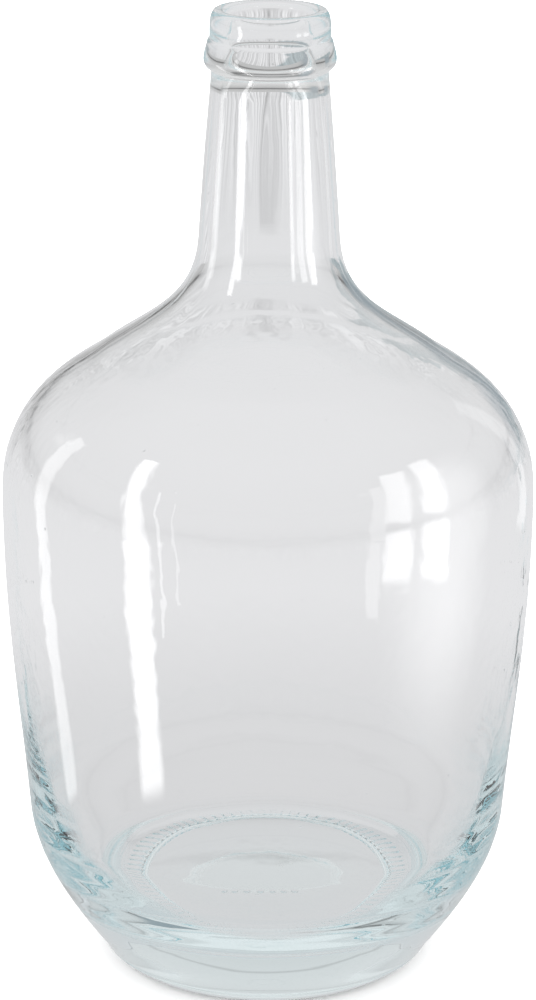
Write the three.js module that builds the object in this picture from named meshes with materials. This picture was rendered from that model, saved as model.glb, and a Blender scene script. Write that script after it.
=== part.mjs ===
// A clear glass carboy that holds one gallon (4.5 litres), moulded in one piece: bearing ring, heel, body,
// shoulder, neck and finish are stretches of one wall, so the whole object is one closed solid.
//
// Units are millimetres. +Z is up, the Z axis is the axis of the glass, and the origin is the centre of
// the circle that the bearing ring stands on. The inside and the outside are both outlines in the
// (radius, height) plane, and one turn of the whole outline makes the wall.

import * as THREE from 'three';

// Overall size
const overallHeight = 349;
const bodyRadius = 95;
const bodyRadiusHeight = 176;

// Foot: the flat ring that bears on the table, and the round that joins it to the heel
const ringInnerRadius = 43.5;
const ringOuterRadius = 49;
const footRadius = 60.4;
const footHeight = 5;

// Outer wall: where its curves meet, and the direction of the wall there (degrees from the +radius axis)
const heelTop = { radius: 86.7, height: 57.6, direction: 85.3 };
const shoulderBend = { radius: 61.4, height: 226.6, direction: 142.5 };
const neckRoot = { radius: 24.8, height: 268.5, direction: 93.5 };
const neckTop = { radius: 20.4, height: 327.8, direction: 94 };

// Finish: the collar below the lip, the lip and the bore that takes a bung
const collarBottom = { radius: 21.2, height: 328.6 };
const collarWidest = { radius: 23.1, height: 331.8 };
const collarShoulder = { radius: 21.7, height: 338.4 };
const collarTop = { radius: 21, height: 339.3 };
const lipRoundStart = 343.2;
const landInnerRadius = 17.4;
const landOuterRadius = 18.6;
const boreRadius = 15.4;
const boreTop = 346;
const boreBottom = 335;

// Wall: thin round the body, thicker towards the heel below it and towards the neck above it
const bodyWall = 1.8;
const thickBelow = 77;
const thickening = 0.14;
const thickeningSoftness = 11.1;
const neckExtraWall = 2.2;
const neckThickening = { from: 176, to: 268.5 };

// Base: the floor inside, the corner where it meets the wall, and the push-up underneath it
const floorHeight = 38.1;
const floorEdge = { radius: 45.4, height: 30.8, direction: -16.8 };
const cornerStart = 0.49;
const pushUpHeight = 4.6;
const pushUpRadius = 41;
const pushUpStep = 3.4;

const turnSteps = 44;
const glassColour = 0xdfe9e8;

const point = (radius, height) => new THREE.Vector2(radius, height);

function directionOf(degrees) {
  const angle = THREE.MathUtils.degToRad(degrees);
  return point(Math.cos(angle), Math.sin(angle));
}

// A cubic curve that leaves `start` and reaches `end` in the given directions. The reaches say how far
// each direction is held.
function bend(start, startDirection, startReach, end, endDirection, endReach) {
  const firstHandle = start.clone().addScaledVector(directionOf(startDirection), startReach);
  const lastHandle = end.clone().addScaledVector(directionOf(endDirection), -endReach);
  return new THREE.CubicBezierCurve(start, firstHandle, lastHandle, end);
}

function bendBetween(lower, lowerReach, upper, upperReach) {
  const start = point(lower.radius, lower.height);
  const end = point(upper.radius, upper.height);
  return bend(start, lower.direction, lowerReach, end, upper.direction, upperReach);
}

// How thick the wall is where the outer wall has this height
function wallThickness(height) {
  const below = (thickBelow - height) / thickeningSoftness;
  const heelPart = thickening * thickeningSoftness * Math.log(1 + Math.exp(below));
  const { from, to } = neckThickening;
  const neckPart = neckExtraWall * THREE.MathUtils.smoothstep(height, from, to);
  return bodyWall + heelPart + neckPart;
}

// The points of a stretch of outer wall, from `start` to 1, moved inwards by the wall's thickness
function insidePoints(curve, steps, start = 0) {
  const points = [];
  for (let step = 0; step <= steps; step += 1) {
    const place = start + ((1 - start) * step) / steps;
    const outer = curve.getPoint(place);
    const along = curve.getTangent(place);
    const inwards = point(-along.y, along.x);
    points.push(outer.addScaledVector(inwards, wallThickness(outer.y)));
  }
  return points;
}

const widest = { radius: bodyRadius, height: bodyRadiusHeight, direction: 90 };
const footEdge = { radius: footRadius, height: footHeight, direction: 64 };
const heel = bendBetween(footEdge, 7, heelTop, 24.3);
const lowerBody = bendBetween(heelTop, 42.8, widest, 48.6);
const shoulder = bendBetween(widest, 34, shoulderBend, 11.6);
const neckSweep = bendBetween(shoulderBend, 18.8, neckRoot, 23.8);
const neck = bendBetween(neckRoot, 15.7, neckTop, 19.4);
const wallCurves = [
  { curve: lowerBody, steps: 5 },
  { curve: shoulder, steps: 7 },
  { curve: neckSweep, steps: 6 },
  { curve: neck, steps: 2 },
];

// The underside, from the axis out to the foot
function undersidePoints() {
  const pushUp = bend(point(0, pushUpHeight), 0, 18, point(pushUpRadius, pushUpStep), -3, 10);
  const step = bend(point(pushUpRadius, pushUpStep), -3, 1.2, point(ringInnerRadius, 0), -70, 1.2);
  const foot = bend(point(ringOuterRadius, 0), 0, 6, point(footRadius, footHeight), 68, 1.6);
  return [...pushUp.getPoints(4), ...step.getPoints(2).slice(1), ...foot.getPoints(4)];
}

function outsidePoints() {
  const points = heel.getPoints(6).slice(1);
  for (const { curve, steps } of wallCurves) {
    points.push(...curve.getPoints(steps).slice(1));
  }
  return points;
}

// Collar, lip and bore, from the top of the neck outside to the top of the neck inside
function finishPoints() {
  const bottom = point(collarBottom.radius, collarBottom.height);
  const widestPlace = point(collarWidest.radius, collarWidest.height);
  const shoulderPlace = point(collarShoulder.radius, collarShoulder.height);
  const top = point(collarTop.radius, collarTop.height);
  const underCollar = bend(bottom, 10, 0.8, widestPlace, 90, 1.6);
  const overCollar = bend(widestPlace, 90, 1.8, shoulderPlace, 104, 2.6);
  const lipStart = point(collarTop.radius, lipRoundStart);
  const lipOutside = bend(lipStart, 90, 3.6, point(landOuterRadius, overallHeight), 180, 1.4);
  const landInner = point(landInnerRadius, overallHeight);
  const lipInside = bend(landInner, 180, 1.1, point(boreRadius, boreTop), 270, 1.7);
  const neckInside = insidePoints(neck, 1)[1];
  const flare = bend(point(boreRadius, boreBottom), 270, 3, neckInside, 274, 3);
  return [
    ...underCollar.getPoints(3),
    ...overCollar.getPoints(3).slice(1),
    top,
    ...lipOutside.getPoints(4),
    ...lipInside.getPoints(3),
    ...flare.getPoints(3),
  ];
}

function insideOutlinePoints() {
  const points = [];
  for (const { curve, steps } of wallCurves.toReversed()) {
    points.push(...insidePoints(curve, steps).toReversed().slice(1));
  }
  points.push(...insidePoints(heel, 3, cornerStart).toReversed().slice(1));
  const cornerTop = points.at(-1);
  const above = points.at(-2);
  const wallAngle = Math.atan2(above.y - cornerTop.y, above.x - cornerTop.x);
  const edge = point(floorEdge.radius, floorEdge.height);
  const corner = bend(edge, floorEdge.direction, 8.9, cornerTop, THREE.MathUtils.radToDeg(wallAngle), 7.5);
  const floor = bend(point(0, floorHeight), 0, 18.2, edge, floorEdge.direction, 11.4);
  points.push(...corner.getPoints(6).toReversed().slice(1));
  points.push(...floor.getPoints(3).toReversed().slice(1));
  return points;
}

const outline = [...undersidePoints(), ...outsidePoints(), ...finishPoints(), ...insideOutlinePoints()];

const glassMaterial = new THREE.MeshStandardMaterial({
  color: glassColour,
  roughness: 0.05,
  metalness: 0,
  transparent: true,
  opacity: 0.35,
});

const carboy = new THREE.Group();
const vessel = new THREE.Mesh(new THREE.LatheGeometry(outline, turnSteps), glassMaterial);
vessel.name = 'glass_vessel';
// A lathe turns its outline round Y, so the glass is stood up on Z
vessel.rotation.x = Math.PI / 2;
carboy.add(vessel);

export default carboy;
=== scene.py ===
"""A clear glass carboy on a pale floor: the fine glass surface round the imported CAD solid.

The CAD node holds the size, the mass and the collision shape. This script replaces it with one
continuous glass wall that has what the plain solid leaves out: the knurled bearing ring, the seams of the
mould, the rim and the dots of its base plate, the slightly uneven inside of blown glass, and the chill
ripples of the heel. The material adds faint waves, pin-head pits, smears, and a scuff under the ring.
"""

import math

import bmesh
import bpy
from mathutils import Matrix, Vector, noise


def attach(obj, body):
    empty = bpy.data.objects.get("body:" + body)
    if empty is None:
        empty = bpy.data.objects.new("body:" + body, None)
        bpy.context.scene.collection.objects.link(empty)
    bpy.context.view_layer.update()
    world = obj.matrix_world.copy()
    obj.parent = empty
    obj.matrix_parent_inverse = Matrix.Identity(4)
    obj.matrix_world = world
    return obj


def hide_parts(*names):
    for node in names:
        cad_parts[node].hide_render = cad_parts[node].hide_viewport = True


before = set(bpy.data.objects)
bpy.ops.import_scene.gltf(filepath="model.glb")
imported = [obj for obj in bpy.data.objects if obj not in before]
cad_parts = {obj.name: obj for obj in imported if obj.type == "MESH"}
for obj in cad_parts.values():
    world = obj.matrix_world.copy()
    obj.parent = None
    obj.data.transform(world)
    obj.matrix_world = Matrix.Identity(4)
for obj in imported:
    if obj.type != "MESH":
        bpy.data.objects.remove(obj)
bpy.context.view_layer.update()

MM = 0.001
CAD_NODE = "glass_vessel"

# The outline of the glass, in millimetres, as in the CAD solid
OVERALL_HEIGHT = 349
BODY_RADIUS = 95
BODY_RADIUS_HEIGHT = 176
RING_INNER_RADIUS = 43.5
RING_OUTER_RADIUS = 49
FOOT = {"at": (60.4, 5), "direction": 64}
HEEL_TOP = {"at": (86.7, 57.6), "direction": 85.3}
WIDEST = {"at": (BODY_RADIUS, BODY_RADIUS_HEIGHT), "direction": 90}
SHOULDER_BEND = {"at": (61.4, 226.6), "direction": 142.5}
NECK_ROOT = {"at": (24.8, 268.5), "direction": 93.5}
NECK_TOP = {"at": (20.4, 327.8), "direction": 94}
COLLAR_BOTTOM = (21.2, 328.6)
COLLAR_WIDEST = (23.1, 331.8)
COLLAR_SHOULDER = (21.7, 338.4)
COLLAR_TOP = (21, 339.3)
LIP_ROUND_START = 343.2
LAND_INNER_RADIUS = 17.4
LAND_OUTER_RADIUS = 18.6
BORE_RADIUS = 15.4
BORE_TOP = 346
BORE_BOTTOM = 335
FLOOR_HEIGHT = 38.1
FLOOR_EDGE = {"at": (45.4, 30.8), "direction": -16.8}
CORNER_START = 0.49
PUSH_UP_HEIGHT = 4.6
PUSH_UP_RADIUS = 41
PUSH_UP_STEP = 3.4

# The wall's thickness, in millimetres
BODY_WALL = 1.8
THICK_BELOW = 77
THICKENING = 0.14
THICKENING_SOFTNESS = 11.1
NECK_EXTRA_WALL = 2.2
NECK_THICKENING = (176, 268.5)

# The knurls of the bearing ring, and the mesh's points round the axis, closer together near the ring
KNURLS = 88
KNURL_DEPTH = 0.7
KNURL_HALF_LENGTH = 4.6
KNURL_MIDDLE = (RING_INNER_RADIUS + RING_OUTER_RADIUS) / 2 + 0.8
TURN_STEPS = KNURLS * 3
RING_TURN_STEPS = KNURLS * 12
FINE_BELOW = 6
FINE_RADII = (RING_INNER_RADIUS - 4, RING_OUTER_RADIUS + 6)

# Marks of the mould: the seams up both sides, the rim of the base plate, and a row of dots under the base
SEAM_HEIGHT = 0.12
PLATE_RADIUS = 55.5
PLATE_RIM = {"height": 0.35, "spread": 0.45}
DOTS = {"count": 7, "first": -14, "spacing": 4, "across": -16, "height": 0.5, "spread": 0.6}

# The glass itself
GLASS_IOR = 1.52
GLASS_TINT = (0.08, 0.70, 0.80, 1)
GLASS_ABSORPTION = 1.05
GLASS_BOUNCES = 128
BUMP_HEIGHT = 0.00013

# The floor, in metres: its radius, its own white, and how bright the glass shows it by distance. The glass
# sees a glow, not a lit floor, dimmer near the bottle as a painted contact shadow
FLOOR_RADIUS = 6
FLOOR_WHITE = 0.93
FLOOR_SHADES = [
    (0.0, 0.66), (0.1, 0.68), (0.22, 0.715), (0.38, 0.80), (0.95, 0.78), (1.2, 0.74),
    (1.86, 0.74), (2.4, 0.72),
]
FLOOR_TINT = (0.985, 0.985, 1.0)
# Painted light streaks in that glow far behind, a painted bluish shade behind on the right, and a painted
# dark stripe behind the middle
FLOOR_GLOW_STREAKS = {"swing": 0.6, "from": (1.05, 1.6)}
SIDE_SHADE = {"colour": (0.36, 0.42, 0.44, 1), "right": (0.12, 0.22), "behind": (1.70, 1.85)}
MIDDLE_SHADE = {"depth": 0.18, "half_width": (0.010, 0.034), "behind": (1.0, 1.12)}

# The dome that lights the floor, and the room the glass shows, by the upward part of the line of sight
DOME_WHITE = 2.6
ROOM = [
    (0.0, 0.52), (0.04, 0.46), (0.058, 0.14), (0.085, 0.14), (0.11, 0.46), (0.26, 0.66), (0.415, 0.70),
    (0.43, 0.50), (0.445, 0.71), (0.62, 0.73), (0.9, 0.88),
]
WALL_SHADE = {
    "colour": (0.29, 0.34, 0.37, 1), "right": (0.15, 0.30), "behind": (0.80, 0.87), "top": (0.12, 0.24),
}

# Where the cards of the highlights stand: the wall's radius in millimetres, their distance in metres
BODY_REFLECTS_AT = 94
BODY_CARD_DISTANCE = 0.12
NECK_REFLECTS_AT = 22
NECK_CARD_DISTANCE = 0.15
NECK_CARDS_ABOVE = 220
NECK_CARD_SPREAD = 74

# The camera: metres and degrees
CAMERA_DISTANCE = 1.2436
CAMERA_HEIGHT = 0.5799
CAMERA_PITCH = 18.178
CAMERA_ROLL = 0.27
LENS_OVER_SENSOR = 3.6532


def polar(degrees, reach):
    angle = math.radians(degrees)
    return Vector((math.cos(angle), math.sin(angle))) * reach


def bend(start, start_direction, start_reach, end, end_direction, end_reach):
    """A cubic curve that leaves start and reaches end in the given directions, as a function of 0 to 1."""
    first = Vector(start)
    last = Vector(end)
    first_handle = first + polar(start_direction, start_reach)
    last_handle = last - polar(end_direction, end_reach)

    def curve(t):
        s = 1 - t
        return first * s**3 + first_handle * 3 * t * s * s + last_handle * 3 * t * t * s + last * t**3

    return curve


def bend_between(lower, lower_reach, upper, upper_reach):
    return bend(
        lower["at"], lower["direction"], lower_reach, upper["at"], upper["direction"], upper_reach
    )


def sample(curve, steps):
    return [curve(step / steps) for step in range(steps + 1)]


def rise(value, start, end):
    """From 0 at start to 1 at end, and flat beyond both."""
    return min(1.0, max(0.0, (value - start) / (end - start)))


def wall_thickness(height):
    below = (THICK_BELOW - height) / THICKENING_SOFTNESS
    heel_part = THICKENING * THICKENING_SOFTNESS * math.log(1 + math.exp(below))
    t = rise(height, *NECK_THICKENING)
    return BODY_WALL + heel_part + NECK_EXTRA_WALL * t * t * (3 - 2 * t)


def inside_points(curve, steps, start=0.0):
    """A stretch of outer wall, from start to 1, moved inwards by the wall's thickness."""
    points = []
    for step in range(steps + 1):
        t = start + (1 - start) * step / steps
        outer = curve(t)
        along = (curve(min(1.0, t + 0.001)) - curve(max(0.0, t - 0.001))).normalized()
        inwards = Vector((-along.y, along.x))
        points.append(outer + inwards * wall_thickness(outer.y))
    return points


HEEL = bend_between(FOOT, 7, HEEL_TOP, 24.3)
LOWER_BODY = bend_between(HEEL_TOP, 42.8, WIDEST, 48.6)
SHOULDER = bend_between(WIDEST, 34, SHOULDER_BEND, 11.6)
NECK_SWEEP = bend_between(SHOULDER_BEND, 18.8, NECK_ROOT, 23.8)
NECK = bend_between(NECK_ROOT, 15.7, NECK_TOP, 19.4)
WALL_CURVES = [(LOWER_BODY, 20), (SHOULDER, 18), (NECK_SWEEP, 16), (NECK, 8)]


def underside_rows():
    push_up = bend((0, PUSH_UP_HEIGHT), 0, 18, (PUSH_UP_RADIUS, PUSH_UP_STEP), -3, 10)
    step = bend((PUSH_UP_RADIUS, PUSH_UP_STEP), -3, 1.2, (RING_INNER_RADIUS, 0), -70, 1.2)
    foot = bend((RING_OUTER_RADIUS, 0), 0, 6, FOOT["at"], 68, 1.6)
    ring_middle = (RING_INNER_RADIUS + RING_OUTER_RADIUS) / 2
    return [*sample(push_up, 48), *sample(step, 4)[1:], Vector((ring_middle, 0)), *sample(foot, 20)]


def outside_rows():
    rows = sample(HEEL, 34)[1:]
    for curve, steps in WALL_CURVES:
        rows += sample(curve, steps)[1:]
    return rows


def finish_rows():
    under_collar = bend(COLLAR_BOTTOM, 10, 0.8, COLLAR_WIDEST, 90, 1.6)
    over_collar = bend(COLLAR_WIDEST, 90, 1.8, COLLAR_SHOULDER, 104, 2.6)
    collar_edge = bend(COLLAR_SHOULDER, 120, 0.3, COLLAR_TOP, 140, 0.3)
    lip_side = (COLLAR_TOP[0], LIP_ROUND_START)
    lip_outside = bend(lip_side, 90, 3.6, (LAND_OUTER_RADIUS, OVERALL_HEIGHT), 180, 1.4)
    lip_inside = bend((LAND_INNER_RADIUS, OVERALL_HEIGHT), 180, 1.1, (BORE_RADIUS, BORE_TOP), 270, 1.7)
    neck_inside = inside_points(NECK, 1)[1]
    flare = bend((BORE_RADIUS, BORE_BOTTOM), 270, 3, neck_inside, 274, 3)
    return [
        *sample(under_collar, 7),
        *sample(over_collar, 8)[1:],
        *sample(collar_edge, 2)[1:],
        *sample(lip_outside, 9),
        *sample(lip_inside, 6),
        *sample(flare, 6),
    ]


def inside_rows():
    """From the neck down to the middle of the floor."""
    rows = []
    for curve, steps in reversed(WALL_CURVES):
        rows += list(reversed(inside_points(curve, steps)))[1:]
    rows += list(reversed(inside_points(HEEL, 16, CORNER_START)))[1:]
    corner_top = rows[-1]
    above = rows[-2]
    direction = math.degrees(math.atan2(above.y - corner_top.y, above.x - corner_top.x))
    floor = bend((0, FLOOR_HEIGHT), 0, 18.2, FLOOR_EDGE["at"], FLOOR_EDGE["direction"], 11.4)
    corner = bend(FLOOR_EDGE["at"], FLOOR_EDGE["direction"], 8.9, corner_top, direction, 7.5)
    return rows + list(reversed(sample(corner, 18)))[1:] + list(reversed(sample(floor, 18)))[1:]


def knurl(radius, angle):
    """How far the bearing ring's grooves go up into the glass."""
    across = (radius - KNURL_MIDDLE) / KNURL_HALF_LENGTH
    if abs(across) >= 1:
        return 0.0
    window = (1 - across * across) ** 2
    return KNURL_DEPTH * window * (0.5 - 0.5 * math.cos(KNURLS * angle))


def mould_marks(point):
    """How far the rim of the base plate and the dots stand down from the underside."""
    beyond = (math.hypot(point.x, point.y) - PLATE_RADIUS) / PLATE_RIM["spread"]
    depth = PLATE_RIM["height"] * math.exp(-beyond * beyond)
    if abs(point.y - DOTS["across"]) < 4 * DOTS["spread"]:
        for index in range(DOTS["count"]):
            x = DOTS["first"] + index * DOTS["spacing"]
            away = math.hypot(point.x - x, point.y - DOTS["across"]) / DOTS["spread"]
            depth += DOTS["height"] * math.exp(-away * away)
    return depth


def unevenness(point, inside):
    """How far blown glass wanders from the true outline, with drawn streaks and ripples in the heel."""
    long_waves = noise.noise(Vector((point.x / 45, point.y / 45, point.z / 120)))
    streaks = noise.noise(Vector((point.x / 14, point.y / 14, point.z / 90 + 7)))
    if inside:
        drawn = noise.noise(Vector((point.x / 5, point.y / 5, point.z / 140)))
        in_neck = rise(point.z, 225, 265)
        return 0.28 * long_waves + 0.10 * streaks + 0.12 * in_neck * drawn
    ripples = noise.noise(Vector((point.x / 16, point.y / 16, point.z / 26 + 3)))
    chill = noise.noise(Vector((point.x / 80, point.y / 80, point.z / 3.5)))
    in_heel = rise(point.z, 66, 46)
    return 0.06 * long_waves + 0.08 * ripples + 0.10 * in_heel * chill


def build_glass():
    """One closed wall: rings of points from under the base, over the lip and down to the floor inside."""
    underside = underside_rows()
    outside = underside + outside_rows()
    finish = finish_rows()
    outline = outside + finish + inside_rows()
    first_inside = len(outside) + len(finish)
    mesh = bmesh.new()
    rows = []
    for index, (radius, height) in enumerate(outline):
        if radius < 1e-6:
            rows.append([mesh.verts.new((0, 0, height * MM))])
            continue
        near_ring = FINE_RADII[0] < radius < FINE_RADII[1] and height < FINE_BELOW
        count = RING_TURN_STEPS if near_ring else TURN_STEPS
        inside = index >= first_inside
        row = []
        for step in range(count):
            angle = 2 * math.pi * step / count
            ray = Vector((math.cos(angle), math.sin(angle), 0))
            point = ray * radius
            point.z = height
            fade = rise(height, 0, 30) * rise(height, 326, 306)
            if fade > 0:
                point += ray * unevenness(point, inside) * fade
            if index < len(underside):
                point.z += knurl(radius, angle) - mould_marks(point)
            elif index < len(outside) and step % (count // 2) == 0:
                point += ray * SEAM_HEIGHT * fade
            row.append(mesh.verts.new(point * MM))
        rows.append(row)
    for lower, upper in zip(rows, rows[1:]):
        join_rows(mesh, lower, upper)
    return finish_mesh(mesh, "glass_wall")


def join_rows(mesh, lower, upper):
    """Faces between two rings. One may be a single point, or have a multiple of the other's points."""
    if len(lower) == 1 or len(upper) == 1:
        ring = upper if len(lower) == 1 else lower
        tip = lower[0] if len(lower) == 1 else upper[0]
        for step, corner in enumerate(ring):
            mesh.faces.new((tip, corner, ring[(step + 1) % len(ring)]))
        return
    coarse, fine = (lower, upper) if len(lower) <= len(upper) else (upper, lower)
    ratio = len(fine) // len(coarse)
    for step, corner in enumerate(coarse):
        run = [fine[(step * ratio + k) % len(fine)] for k in range(ratio + 1)]
        mesh.faces.new((corner, *run, coarse[(step + 1) % len(coarse)]))


def finish_mesh(mesh, name):
    """A smooth-shaded object with outward normals."""
    bmesh.ops.recalc_face_normals(mesh, faces=mesh.faces)
    for face in mesh.faces:
        face.smooth = True
    data = bpy.data.meshes.new(name)
    mesh.to_mesh(data)
    mesh.free()
    piece = bpy.data.objects.new(name, data)
    bpy.context.collection.objects.link(piece)
    return piece


def glass_material():
    """Clear glass, tinted where it is thick, with faint waves, pin-head pits and a scuffed ring."""
    material = bpy.data.materials.new("clear_glass")
    material.use_nodes = True
    tree = material.node_tree
    tree.nodes.clear()
    output = tree.nodes.new("ShaderNodeOutputMaterial")
    surface = tree.nodes.new("ShaderNodeBsdfPrincipled")
    surface.inputs["Base Color"].default_value = (1, 1, 1, 1)
    surface.inputs["Transmission Weight"].default_value = 1.0
    surface.inputs["IOR"].default_value = GLASS_IOR
    volume = tree.nodes.new("ShaderNodeVolumeAbsorption")
    volume.inputs["Color"].default_value = GLASS_TINT
    volume.inputs["Density"].default_value = GLASS_ABSORPTION
    place = tree.nodes.new("ShaderNodeTexCoord")

    split = tree.nodes.new("ShaderNodeSeparateXYZ")
    waves = add_noise(tree, place, (150, 150, 110), 1)
    above_heel = add_range(tree, split.outputs["Z"], (0.09, 0.14), (0.08, 1))
    below_neck = add_range(tree, split.outputs["Z"], (0.19, 0.23), (1, 0.12))
    on_body = add_math(tree, "MULTIPLY", above_heel.outputs["Result"], below_neck.outputs["Result"])
    wave = add_math(tree, "MULTIPLY", waves.outputs["Fac"], on_body.outputs["Value"])
    pits = tree.nodes.new("ShaderNodeTexVoronoi")
    pits.inputs["Scale"].default_value = 75
    pit = add_range(tree, pits.outputs["Distance"], (0.02, 0.06), (-0.7, 0))
    kept = add_range(tree, pits.outputs["Color"], (0.62, 0.66), (0, 1))
    few_pits = add_math(tree, "MULTIPLY", pit.outputs["Result"], kept.outputs["Result"])
    height = add_math(tree, "ADD", wave.outputs["Value"], few_pits.outputs["Value"])
    bump = tree.nodes.new("ShaderNodeBump")
    bump.inputs["Strength"].default_value = 1.0
    bump.inputs["Distance"].default_value = BUMP_HEIGHT

    smears = add_noise(tree, place, (16, 16, 9), 5)
    smear = add_range(tree, smears.outputs["Fac"], (0.62, 0.8), (0, 0.03))
    scuff = add_range(tree, split.outputs["Z"], (0.0001, 0.0006), (0.1, 0))
    roughness = add_math(tree, "MAXIMUM", smear.outputs["Result"], scuff.outputs["Result"])

    tree.links.new(place.outputs["Object"], pits.inputs["Vector"])
    tree.links.new(place.outputs["Object"], split.inputs[0])
    tree.links.new(height.outputs["Value"], bump.inputs["Height"])
    tree.links.new(bump.outputs["Normal"], surface.inputs["Normal"])
    tree.links.new(roughness.outputs["Value"], surface.inputs["Roughness"])
    tree.links.new(surface.outputs["BSDF"], output.inputs["Surface"])
    tree.links.new(volume.outputs["Volume"], output.inputs["Volume"])
    return material


def grey(value):
    return (value, value, value, 1)


def add_noise(tree, place, scale, detail):
    stretch = tree.nodes.new("ShaderNodeMapping")
    stretch.inputs["Scale"].default_value = scale
    texture = tree.nodes.new("ShaderNodeTexNoise")
    texture.inputs["Scale"].default_value = 1
    texture.inputs["Detail"].default_value = detail
    tree.links.new(place.outputs["Object"], stretch.inputs["Vector"])
    tree.links.new(stretch.outputs["Vector"], texture.inputs["Vector"])
    return texture


def add_range(tree, value, given, wanted):
    """A smooth step from one pair of values to another."""
    step = tree.nodes.new("ShaderNodeMapRange")
    step.interpolation_type = "SMOOTHSTEP"
    step.inputs["From Min"].default_value, step.inputs["From Max"].default_value = given
    step.inputs["To Min"].default_value, step.inputs["To Max"].default_value = wanted
    tree.links.new(value, step.inputs["Value"])
    return step


def add_math(tree, operation, first, second):
    node = tree.nodes.new("ShaderNodeMath")
    node.operation = operation
    tree.links.new(first, node.inputs[0])
    tree.links.new(second, node.inputs[1])
    return node


def set_stops(ramp, stops, tint):
    """Put pairs of position and brightness on a colour ramp."""
    elements = ramp.color_ramp.elements
    while len(elements) < len(stops):
        elements.new(1.0)
    for element, (position, brightness) in zip(elements, stops):
        element.position = position
        element.color = (*(brightness * part for part in tint), 1)


def floor_in_glass(tree, place):
    """What the glass shows of the floor: a glowing soft grey, dimmer near the bottle as a painted contact
    shadow, with painted light streaks and two painted shades far behind.
    """
    reach = FLOOR_SHADES[-1][0]
    distance = tree.nodes.new("ShaderNodeVectorMath")
    distance.operation = "LENGTH"
    tree.links.new(place.outputs["Object"], distance.inputs[0])
    scale = tree.nodes.new("ShaderNodeMath")
    scale.operation = "DIVIDE"
    scale.inputs[1].default_value = reach
    tree.links.new(distance.outputs["Value"], scale.inputs[0])
    # The glow by distance, with a painted contact shadow near the bottle
    fade = tree.nodes.new("ShaderNodeValToRGB")
    set_stops(fade, [(at / reach, brightness) for at, brightness in FLOOR_SHADES], FLOOR_TINT)
    tree.links.new(scale.outputs["Value"], fade.inputs["Fac"])

    split = tree.nodes.new("ShaderNodeSeparateXYZ")
    tree.links.new(place.outputs["Object"], split.inputs[0])
    # A painted bluish shade far behind on the right
    right = add_range(tree, split.outputs["X"], SIDE_SHADE["right"], (0, 0.95))
    behind = add_range(tree, split.outputs["Y"], SIDE_SHADE["behind"], (0, 1))
    aside = add_math(tree, "MULTIPLY", right.outputs["Result"], behind.outputs["Result"])
    colour = tree.nodes.new("ShaderNodeMix")
    colour.data_type = "RGBA"
    colour.inputs["B"].default_value = SIDE_SHADE["colour"]
    tree.links.new(aside.outputs["Value"], colour.inputs["Factor"])
    tree.links.new(fade.outputs["Color"], colour.inputs["A"])

    # Painted light streaks far behind
    bearing = tree.nodes.new("ShaderNodeVectorMath")
    bearing.operation = "NORMALIZE"
    tree.links.new(place.outputs["Object"], bearing.inputs[0])
    streaks = tree.nodes.new("ShaderNodeTexNoise")
    streaks.inputs["Scale"].default_value = 130
    streaks.inputs["Detail"].default_value = 1
    tree.links.new(bearing.outputs["Vector"], streaks.inputs["Vector"])
    swing = add_range(tree, streaks.outputs["Fac"], (0.25, 0.75), (-0.5, 0.5))
    depth = add_range(tree, distance.outputs["Value"], FLOOR_GLOW_STREAKS["from"], (0, FLOOR_GLOW_STREAKS["swing"]))
    streaked_glow = add_math(tree, "MULTIPLY_ADD", swing.outputs["Result"], depth.outputs["Result"])
    streaked_glow.inputs[2].default_value = 1.0

    # A painted dark stripe far behind the middle
    off_middle = tree.nodes.new("ShaderNodeMath")
    off_middle.operation = "ABSOLUTE"
    tree.links.new(split.outputs["X"], off_middle.inputs[0])
    half_width = MIDDLE_SHADE["half_width"]
    middle = add_range(tree, off_middle.outputs["Value"], half_width, (MIDDLE_SHADE["depth"], 0))
    beyond = add_range(tree, split.outputs["Y"], MIDDLE_SHADE["behind"], (0, 1))
    shaded = add_math(tree, "MULTIPLY", middle.outputs["Result"], beyond.outputs["Result"])
    strength = add_math(tree, "SUBTRACT", streaked_glow.outputs["Value"], shaded.outputs["Value"])

    # The floor glows as painted light instead of being lit
    glow = tree.nodes.new("ShaderNodeEmission")
    tree.links.new(colour.outputs["Result"], glow.inputs["Color"])
    tree.links.new(strength.outputs["Value"], glow.inputs["Strength"])
    return glow


def build_floor():
    """A sweep that is white to the camera and, to the glass, a glowing soft grey with painted shade."""
    bpy.ops.mesh.primitive_circle_add(vertices=96, radius=FLOOR_RADIUS, fill_type="NGON")
    floor = bpy.context.object
    floor.name = "floor"
    material = bpy.data.materials.new("pale_floor")
    material.use_nodes = True
    tree = material.node_tree
    tree.nodes.clear()
    output = tree.nodes.new("ShaderNodeOutputMaterial")
    white = tree.nodes.new("ShaderNodeBsdfDiffuse")
    white.inputs["Color"].default_value = grey(FLOOR_WHITE)
    place = tree.nodes.new("ShaderNodeTexCoord")
    in_glass = floor_in_glass(tree, place)
    # Camera rays see the lit white floor; all other rays see the painted glow
    sight = tree.nodes.new("ShaderNodeLightPath")
    shade = tree.nodes.new("ShaderNodeMixShader")
    tree.links.new(sight.outputs["Is Camera Ray"], shade.inputs["Fac"])
    tree.links.new(in_glass.outputs["Emission"], shade.inputs[1])
    tree.links.new(white.outputs["BSDF"], shade.inputs[2])
    tree.links.new(shade.outputs["Shader"], output.inputs["Surface"])
    floor.data.materials.append(material)


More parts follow.
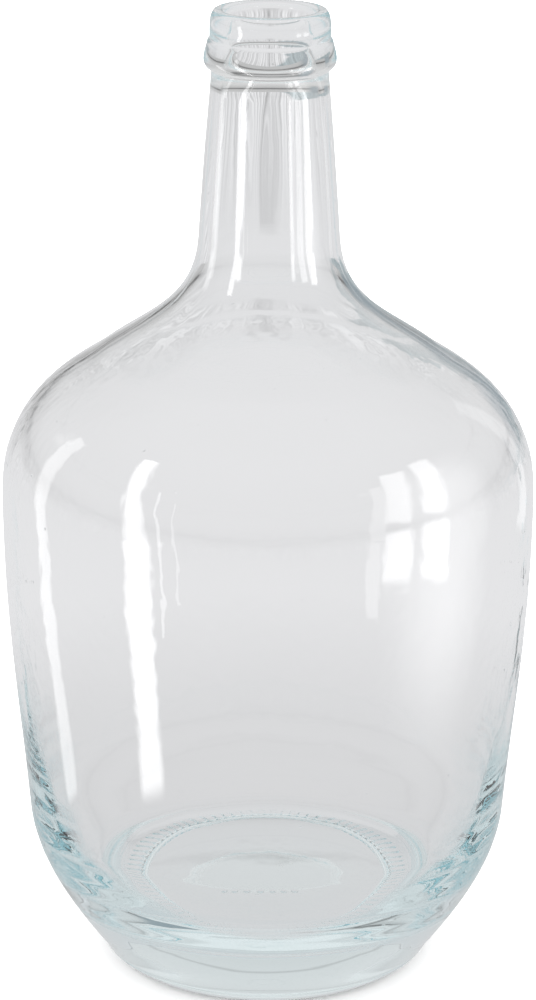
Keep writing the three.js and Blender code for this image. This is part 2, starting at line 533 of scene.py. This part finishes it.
def build_world():
    """A white dome that lights the floor, and a grey room, dimmer behind on the right, for the glass."""
    world = bpy.data.worlds.new("studio")
    bpy.context.scene.world = world
    world.use_nodes = True
    tree = world.node_tree
    background = tree.nodes["Background"]
    sight = tree.nodes.new("ShaderNodeLightPath")
    seen_in_glass = tree.nodes.new("ShaderNodeMath")
    seen_in_glass.operation = "MAXIMUM"
    shade = tree.nodes.new("ShaderNodeMix")
    shade.data_type = "RGBA"
    place = tree.nodes.new("ShaderNodeTexCoord")
    split = tree.nodes.new("ShaderNodeSeparateXYZ")
    room = tree.nodes.new("ShaderNodeValToRGB")
    set_stops(room, ROOM, (1, 1, 1))
    tree.links.new(place.outputs["Generated"], split.inputs[0])
    tree.links.new(split.outputs["Z"], room.inputs["Fac"])
    right = add_range(tree, split.outputs["X"], WALL_SHADE["right"], (0, 1))
    behind = add_range(tree, split.outputs["Y"], WALL_SHADE["behind"], (0, 1))
    low = add_range(tree, split.outputs["Z"], WALL_SHADE["top"], (1, 0))
    aside = add_math(tree, "MULTIPLY", right.outputs["Result"], behind.outputs["Result"])
    wall = add_math(tree, "MULTIPLY", aside.outputs["Value"], low.outputs["Result"])
    colour = tree.nodes.new("ShaderNodeMix")
    colour.data_type = "RGBA"
    colour.inputs["B"].default_value = WALL_SHADE["colour"]
    tree.links.new(wall.outputs["Value"], colour.inputs["Factor"])
    tree.links.new(room.outputs["Color"], colour.inputs["A"])
    tree.links.new(sight.outputs["Is Glossy Ray"], seen_in_glass.inputs[0])
    tree.links.new(sight.outputs["Is Transmission Ray"], seen_in_glass.inputs[1])
    tree.links.new(seen_in_glass.outputs["Value"], shade.inputs["Factor"])
    shade.inputs["A"].default_value = grey(DOME_WHITE)
    tree.links.new(colour.outputs["Result"], shade.inputs["B"])
    tree.links.new(shade.outputs["Result"], background.inputs["Color"])


def add_edge_fade(tree, value, softness):
    """From 0 at both ends of a 0-to-1 value up to 1 where it is softness away from them."""
    fold = tree.nodes.new("ShaderNodeMath")
    fold.operation = "PINGPONG"
    fold.inputs[1].default_value = 0.5
    tree.links.new(value, fold.inputs[0])
    return add_range(tree, fold.outputs["Value"], (0, max(softness, 0.005)), (0, 1))


def add_card(name, at, aim, width, tall, radiance, softness, spread):
    """A light panel with soft edges that only the glass reflects."""
    lamp = bpy.data.lights.new(name, "AREA")
    lamp.shape = "RECTANGLE"
    lamp.size = width
    lamp.size_y = tall
    lamp.energy = radiance * width * tall * math.pi
    lamp.spread = math.radians(spread)
    lamp.use_nodes = True
    tree = lamp.node_tree
    place = tree.nodes.new("ShaderNodeNewGeometry")
    split = tree.nodes.new("ShaderNodeSeparateXYZ")
    tree.links.new(place.outputs["Parametric"], split.inputs[0])
    across = add_edge_fade(tree, split.outputs["X"], softness)
    along = add_edge_fade(tree, split.outputs["Y"], softness * width / tall)
    strength = add_math(tree, "MULTIPLY", across.outputs["Result"], along.outputs["Result"])
    tree.links.new(strength.outputs["Value"], tree.nodes["Emission"].inputs["Strength"])
    card = bpy.data.objects.new(name, lamp)
    bpy.context.collection.objects.link(card)
    card.location = at
    card.rotation_euler = (Vector(aim) - Vector(at)).to_track_quat("-Z", "Y").to_euler()
    card.visible_camera = False
    card.visible_diffuse = False
    card.visible_transmission = False
    return card


def add_reflection(name, across, low, high, width, radiance, lean=0, softness=0.25):
    """A card that shows as a tall highlight, across mm from the axis, on the body or the neck.

    A leaning card is turned by lean degrees round the middle of its lower edge, away from the axis.
    """
    on_neck = low > NECK_CARDS_ABOVE
    wall_radius = NECK_REFLECTS_AT if on_neck else BODY_REFLECTS_AT
    distance = NECK_CARD_DISTANCE if on_neck else BODY_CARD_DISTANCE
    angle = math.asin(across / wall_radius)
    spot = Vector((across, -wall_radius * math.cos(angle), (low + high) / 2)) * MM
    away = Vector((math.sin(2 * angle), -math.cos(2 * angle), 0))
    outwards = Vector((math.cos(2 * angle), math.sin(2 * angle), 0)) * math.copysign(1, across)
    lean_by = math.radians(lean)
    middle = spot + away * distance + outwards * math.tan(lean_by) * (high - low) / 2 * MM
    tall = (high - low) * MM / math.cos(lean_by)
    spread = NECK_CARD_SPREAD if on_neck else 180
    card = add_card(name, middle, middle - away, width * MM, tall, radiance, softness, spread)
    card.rotation_euler.rotate_axis("Z", -math.copysign(lean_by, across))
    return card


def build_cards():
    """The windows either side, the glow round the right one, and the strips of light on the neck."""
    add_reflection("left_window", -44, 5, 172, 42, 7)
    add_reflection("left_window_top", -43, 158, 380, 36, 6, lean=15)
    add_reflection("left_window_edge", -36, 100, 178, 6, 3)
    add_reflection("left_window_edge_top", -36, 168, 280, 6, 3, lean=10)
    add_reflection("left_window_frame", -30, 115, 260, 4, 2, lean=6)
    add_reflection("far_left_window", -76, 5, 300, 30, 2.2, lean=4)
    for column, across in enumerate((44, 57)):
        add_reflection(f"right_window_low_{column}", across, 120, 196, 48, 5)
        add_reflection(f"right_window_high_{column}", across, 200, 330, 48, 4, lean=16)
    add_reflection("right_window_edge", 36, 105, 180, 22, 1.8)
    add_reflection("right_window_edge_top", 36, 172, 300, 22, 1.5, lean=12)
    add_reflection("right_edge", 88, 130, 300, 30, 0.6, lean=6)
    add_reflection("right_glow", 56, 10, 330, 190, 2.4, lean=8, softness=0.5)
    add_reflection("neck_left", -9, 254, 318, 38, 1.8, softness=0.4)
    add_reflection("neck_right", 7, 250, 318, 26, 1.0, softness=0.4)
    add_reflection("neck_right_wide", 13, 250, 318, 34, 1.4, softness=0.4)
    add_reflection("neck_far_left", -17, 240, 318, 40, 0.5, softness=0.4)


def build_camera():
    data = bpy.data.cameras.new("camera")
    data.sensor_width = 36
    data.lens = LENS_OVER_SENSOR * data.sensor_width
    camera = bpy.data.objects.new("camera", data)
    bpy.context.collection.objects.link(camera)
    pitch = Matrix.Rotation(math.radians(90 - CAMERA_PITCH), 4, "X")
    roll = Matrix.Rotation(math.radians(CAMERA_ROLL), 4, "Z")
    camera.matrix_world = Matrix.Translation((0, -CAMERA_DISTANCE, CAMERA_HEIGHT)) @ pitch @ roll
    bpy.context.scene.camera = camera


glass = build_glass()
glass.data.materials.append(glass_material())
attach(glass, "root")
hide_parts(CAD_NODE)

build_floor()
build_world()
build_cards()
build_camera()

scene = bpy.context.scene
scene.view_settings.view_transform = "Standard"
scene.cycles.max_bounces = GLASS_BOUNCES
scene.cycles.transmission_bounces = GLASS_BOUNCES
scene.cycles.glossy_bounces = GLASS_BOUNCES
